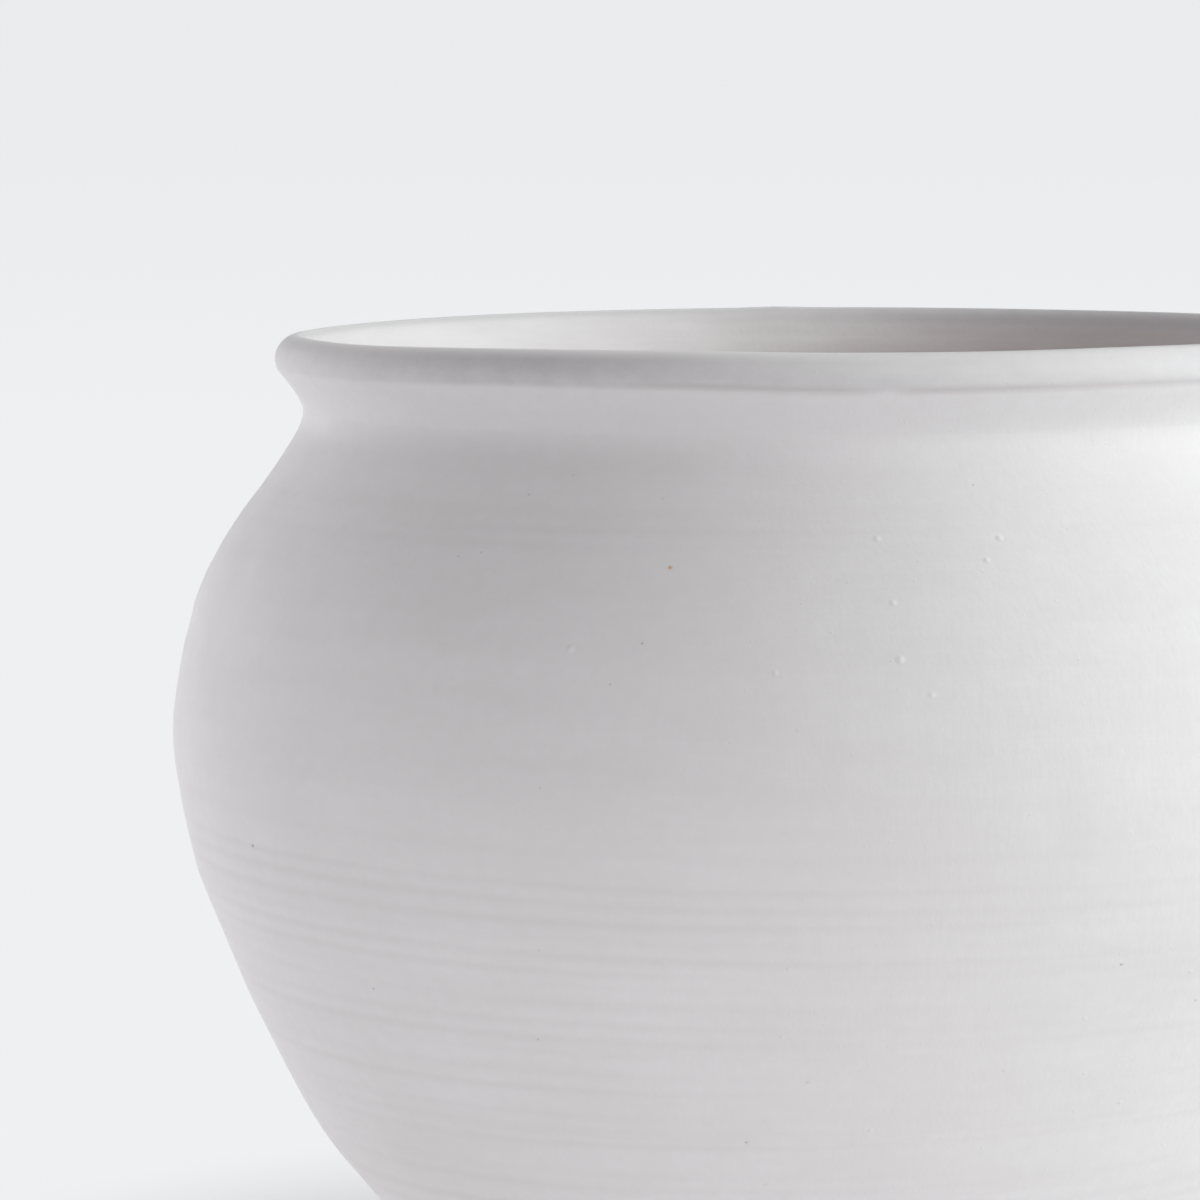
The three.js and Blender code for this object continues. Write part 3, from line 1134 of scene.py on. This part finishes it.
def white_colour(nodes):
    """The white coat: stained, lip painted in shade and highlight, lines thin and shaded, pits, rust."""
    patches = nodes.ramp(nodes.noise(38 * MM, detail=3), (0.35, 0.7), (0, 0.55))
    streaks = nodes.ramp(nodes.noise(9 * MM, detail=3, squeeze=(0.2, 0.2, 1.6)), (0.4, 0.7), (0, 0.45))
    mottle = nodes.ramp(nodes.noise(3.2 * MM, detail=5, rough=0.65), (0.32, 0.68), (0, 0.6))
    stain = nodes.combine("ADD", nodes.combine("ADD", patches, streaks), mottle)
    base = nodes.mix(stain, WHITE, WHITE_SHADE)
    base = nodes.mix(nodes.attribute("inside"), base, lining(nodes))
    # Painted shade on the lip's outer face, the neck and the inner lip, broken up by noise.
    uneven = nodes.noise(3 * MM, detail=5, rough=0.65, squeeze=(0.6, 0.6, 1))
    uneven = nodes.ramp(uneven, (0.36, 0.64), (0.72, 1))
    painted_shade = nodes.combine("MULTIPLY", nodes.attribute("painted_shade"), uneven)
    base = nodes.mix(painted_shade, base, LIP_SHADE_WHITE)
    # A painted highlight along the crest.
    base = nodes.mix(nodes.attribute("crest"), base, CREST_HIGHLIGHT_WHITE)
    # Lines and the crease darken, partly from a thinner coat and partly as painted shade; pits turn
    # brown.
    thin = nodes.attribute("thin")
    base = nodes.mix(nodes.ramp(thin, (0, BROWN_SHOWS_FROM), (0, THIN_GREYED)), base, THIN_AND_SHADED_WHITE)
    base = nodes.mix(nodes.ramp(thin, (BROWN_SHOWS_FROM, 1), (0, 1)), base, PIT_BROWN)
    return nodes.mix(nodes.attribute("rusty"), base, RUST)


def white_coat():
    nodes = Nodes("white_coat")
    rough = nodes.ramp(nodes.noise(14 * MM, detail=3), (0.3, 0.7), (0.68, 0.78))
    runs = nodes.bump(nodes.noise(1.3 * MM, squeeze=(1, 1, 0.4)), 0.05 * MM)
    combed = nodes.bump(nodes.noise(1.7 * MM, squeeze=(0.06, 0.06, 1)), 0.03 * MM, runs)
    grain = nodes.bump(nodes.noise(0.5 * MM), 0.012 * MM, combed)
    specks = nodes.bump(nodes.specks(spacing=4 * MM, radius=0.45 * MM), 0.06 * MM, grain)
    return nodes.surface(white_colour(nodes), rough, specks)


def inner_coat():
    nodes = Nodes("inner_coat")
    patches = nodes.ramp(nodes.noise(30 * MM, detail=3), (0.35, 0.7), (0, 0.6))
    streaks = nodes.ramp(nodes.noise(7 * MM, detail=3, squeeze=(0.15, 0.15, 1.8)), (0.4, 0.72), (0, 0.6))
    stain = nodes.combine("ADD", patches, streaks)
    patchy = nodes.ramp(nodes.height(), LINER_PATCHY, (0, 1))
    base = nodes.mix(nodes.combine("MULTIPLY", stain, patchy), lining(nodes), LINER_SHADE)
    base = nodes.mix(nodes.ramp(nodes.height(), LINER_THINS, (0, 1)), base, LINER_DEEP)
    rough = nodes.ramp(nodes.noise(12 * MM, detail=3), (0.3, 0.7), (0.70, 0.82))
    peel = nodes.bump(nodes.noise(1.7 * MM), 0.05 * MM)
    return nodes.surface(base, rough, peel)


def fired_clay(name, body, pale, dark, roughness):
    nodes = Nodes(name)
    patches = nodes.ramp(nodes.noise(16 * MM, detail=4), (0.35, 0.68), (0, 0.7))
    base = nodes.mix(patches, body, pale)
    specks = nodes.ramp(nodes.noise(1.1 * MM), (0.62, 0.72), (0, 0.8))
    base = nodes.mix(specks, base, dark)
    rough = nodes.ramp(nodes.noise(5 * MM, detail=3), (0.3, 0.7), roughness)
    sand = nodes.bump(nodes.noise(0.8 * MM, detail=4, rough=0.65), 0.10 * MM)
    return nodes.surface(base, rough, sand)


# Stage and light

# The floor throws light back in its own colour. What is seen of it is mostly the background, paler near
# by, and only round the pot is it in part the floor itself, with the shadow. Distances are in metres.
FLOOR_COLOUR = (0.80, 0.80, 0.80)
FLOOR_ROUGHNESS = 0.9
BACKGROUND_NEAR = (0.865, 0.871, 0.884)
BACKGROUND_FAR = (0.828, 0.834, 0.848)
BACKGROUND_FADE = 0.3
FLOOR_REACH = 60
FLOOR_SIDES = 96
SHADOW_SHARE = 0.6
SHADOW_FADE = (0.09, 0.235)

# Lamps: name, azimuth in degrees, distance from the axis, height, the height on the axis that the
# lamp faces, its width and height, power in watts and colour. The last two lie on the floor, face up,
# and stand for the light that a bright table throws back.
COOL = (0.948, 1, 0.973)
PLAIN = (1, 1, 1)
WARM = (1, 0.97, 0.955)
LAMPS = (
    ("key", 95, 1.47, 0.97, 0.12, 1.5, 1.5, 18.5, COOL),
    ("key_low", 70, 1.66, 0.49, 0.12, 1.0, 1.0, 6.0, COOL),
    ("overhead", 90, 0.05, 1.7, 0.12, 1.0, 1.0, 2.2, PLAIN),
    ("front_high", 20, 1.14, 1.38, 0.12, 1.0, 1.0, 5.2, WARM),
    ("front_low", 20, 1.66, 0.49, 0.12, 1.0, 1.0, 5.4, PLAIN),
    ("back_left", -130, 1.66, 0.49, 0.12, 1.0, 1.0, 9.7, PLAIN),
    ("left_strip", -60, 0.8, 0.09, 0.2, 0.6, 0.16, 0.55, PLAIN),
    ("left_strip_back", -90, 0.8, 0.09, 0.2, 0.6, 0.16, 1.06, PLAIN),
    ("table_front", 0, 0.28, 0.002, None, 0.2, 0.2, 0.03, WARM),
    ("table_round", 0, 0, 0.002, None, 0.7, 0.7, 0.29, WARM),
)


def seen_share(tree):
    """1 for what the camera, a reflection or clear glass sees, and 0 for light on the object."""
    path = tree.nodes.new("ShaderNodeLightPath")
    share = path.outputs["Is Camera Ray"]
    for name in ("Is Glossy Ray", "Is Transmission Ray"):
        both = tree.nodes.new("ShaderNodeMath")
        both.operation = "MAXIMUM"
        tree.links.new(share, both.inputs[0])
        tree.links.new(path.outputs[name], both.inputs[1])
        share = both.outputs[0]
    return share


def floor_material():
    """A matt pale floor. What the camera sees of it is part background and part the lit floor."""
    nodes = Nodes("floor")
    nodes.shader.inputs["Base Color"].default_value = (*FLOOR_COLOUR, 1)
    nodes.shader.inputs["Roughness"].default_value = FLOOR_ROUGHNESS
    nodes.shader.inputs["Specular IOR Level"].default_value = 0
    distance = nodes.add("ShaderNodeVectorMath", operation="LENGTH")
    nodes.join(nodes.place, distance.inputs[0])
    nearness = nodes.add("ShaderNodeMath", operation="DIVIDE")
    nearness.inputs[0].default_value = 1
    nodes.join(distance.outputs["Value"], nearness.inputs[1])
    near = nodes.ramp(nearness.outputs[0], (0, BACKGROUND_FADE), (0, 1))
    pale = nodes.add("ShaderNodeEmission")
    nodes.join(nodes.mix(near, BACKGROUND_FAR, BACKGROUND_NEAR), pale.inputs["Color"])
    fade = nodes.ramp(distance.outputs["Value"], SHADOW_FADE, (1 - SHADOW_SHARE, 1), "SMOOTHSTEP")
    both = nodes.add("ShaderNodeMixShader")
    nodes.join(nodes.combine("MULTIPLY", seen_share(nodes.tree), fade), both.inputs[0])
    nodes.join(nodes.shader.outputs[0], both.inputs[1])
    nodes.join(pale.outputs[0], both.inputs[2])
    nodes.join(both.outputs[0], nodes.tree.nodes["Material Output"].inputs["Surface"])
    return nodes.material


def make_floor():
    shape = bmesh.new()
    bmesh.ops.create_circle(shape, cap_ends=True, segments=FLOOR_SIDES, radius=FLOOR_REACH)
    mesh = bpy.data.meshes.new("floor")
    shape.to_mesh(mesh)
    shape.free()
    mesh.materials.append(floor_material())
    floor = bpy.data.objects.new("floor", mesh)
    bpy.context.scene.collection.objects.link(floor)


def make_world():
    """The background that is seen beyond the floor, which gives no light."""
    world = bpy.data.worlds.new("studio")
    world.use_nodes = True
    tree = world.node_tree
    background = tree.nodes["Background"]
    background.inputs["Color"].default_value = (*BACKGROUND_FAR, 1)
    tree.links.new(seen_share(tree), background.inputs["Strength"])
    bpy.context.scene.world = world


def make_lamps():
    for name, azimuth, distance, level, aim, width, height, power, colour in LAMPS:
        turn = math.radians(azimuth)
        place = Vector((distance * math.sin(turn), -distance * math.cos(turn), level))
        facing = Vector((0, 0, 1)) if aim is None else Vector((0, 0, aim)) - place
        data = bpy.data.lights.new(name, "AREA")
        data.shape = "RECTANGLE"
        data.size, data.size_y = width, height
        data.energy = power
        data.color = colour
        lamp = bpy.data.objects.new(name, data)
        lamp.location = place
        lamp.rotation_euler = facing.to_track_quat("-Z", "Y").to_euler()
        lamp.visible_camera = False
        bpy.context.scene.collection.objects.link(lamp)


# The whole

def make_vase():
    clay = fired_clay("clay", CLAY, CLAY_PALE, CLAY_DARK, roughness=(0.8, 0.95))
    slip = fired_clay("joint_slip", CLAY_DARK, CLAY, CLAY_DARK, roughness=(0.85, 0.97))
    for piece, node, slot in (
        (bowl(clay), "lower_section", "clay"),
        (shoulder(clay), "upper_section", "clay"),
        (rolled_lip(clay), "lip_roll", "clay"),
        (slip_bed("belly_slip", BELLY_JOINT, BELLY_JOINT_DEPTH, slip), "belly_joint_slip", "joint_slip"),
        (slip_bed("lip_slip", LIP_JOINT, LIP_JOINT_DEPTH, slip), "lip_joint_slip", "joint_slip"),
        (white_skin(white_coat()), "outer_coat", "white_coat"),
        (liner(inner_coat()), "inner_liner", "inner_coat"),
    ):
        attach(piece, "root")
        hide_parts(node)


make_camera()
make_vase()
make_floor()
make_world()
make_lamps()
bpy.context.scene.view_settings.view_transform = "Standard"
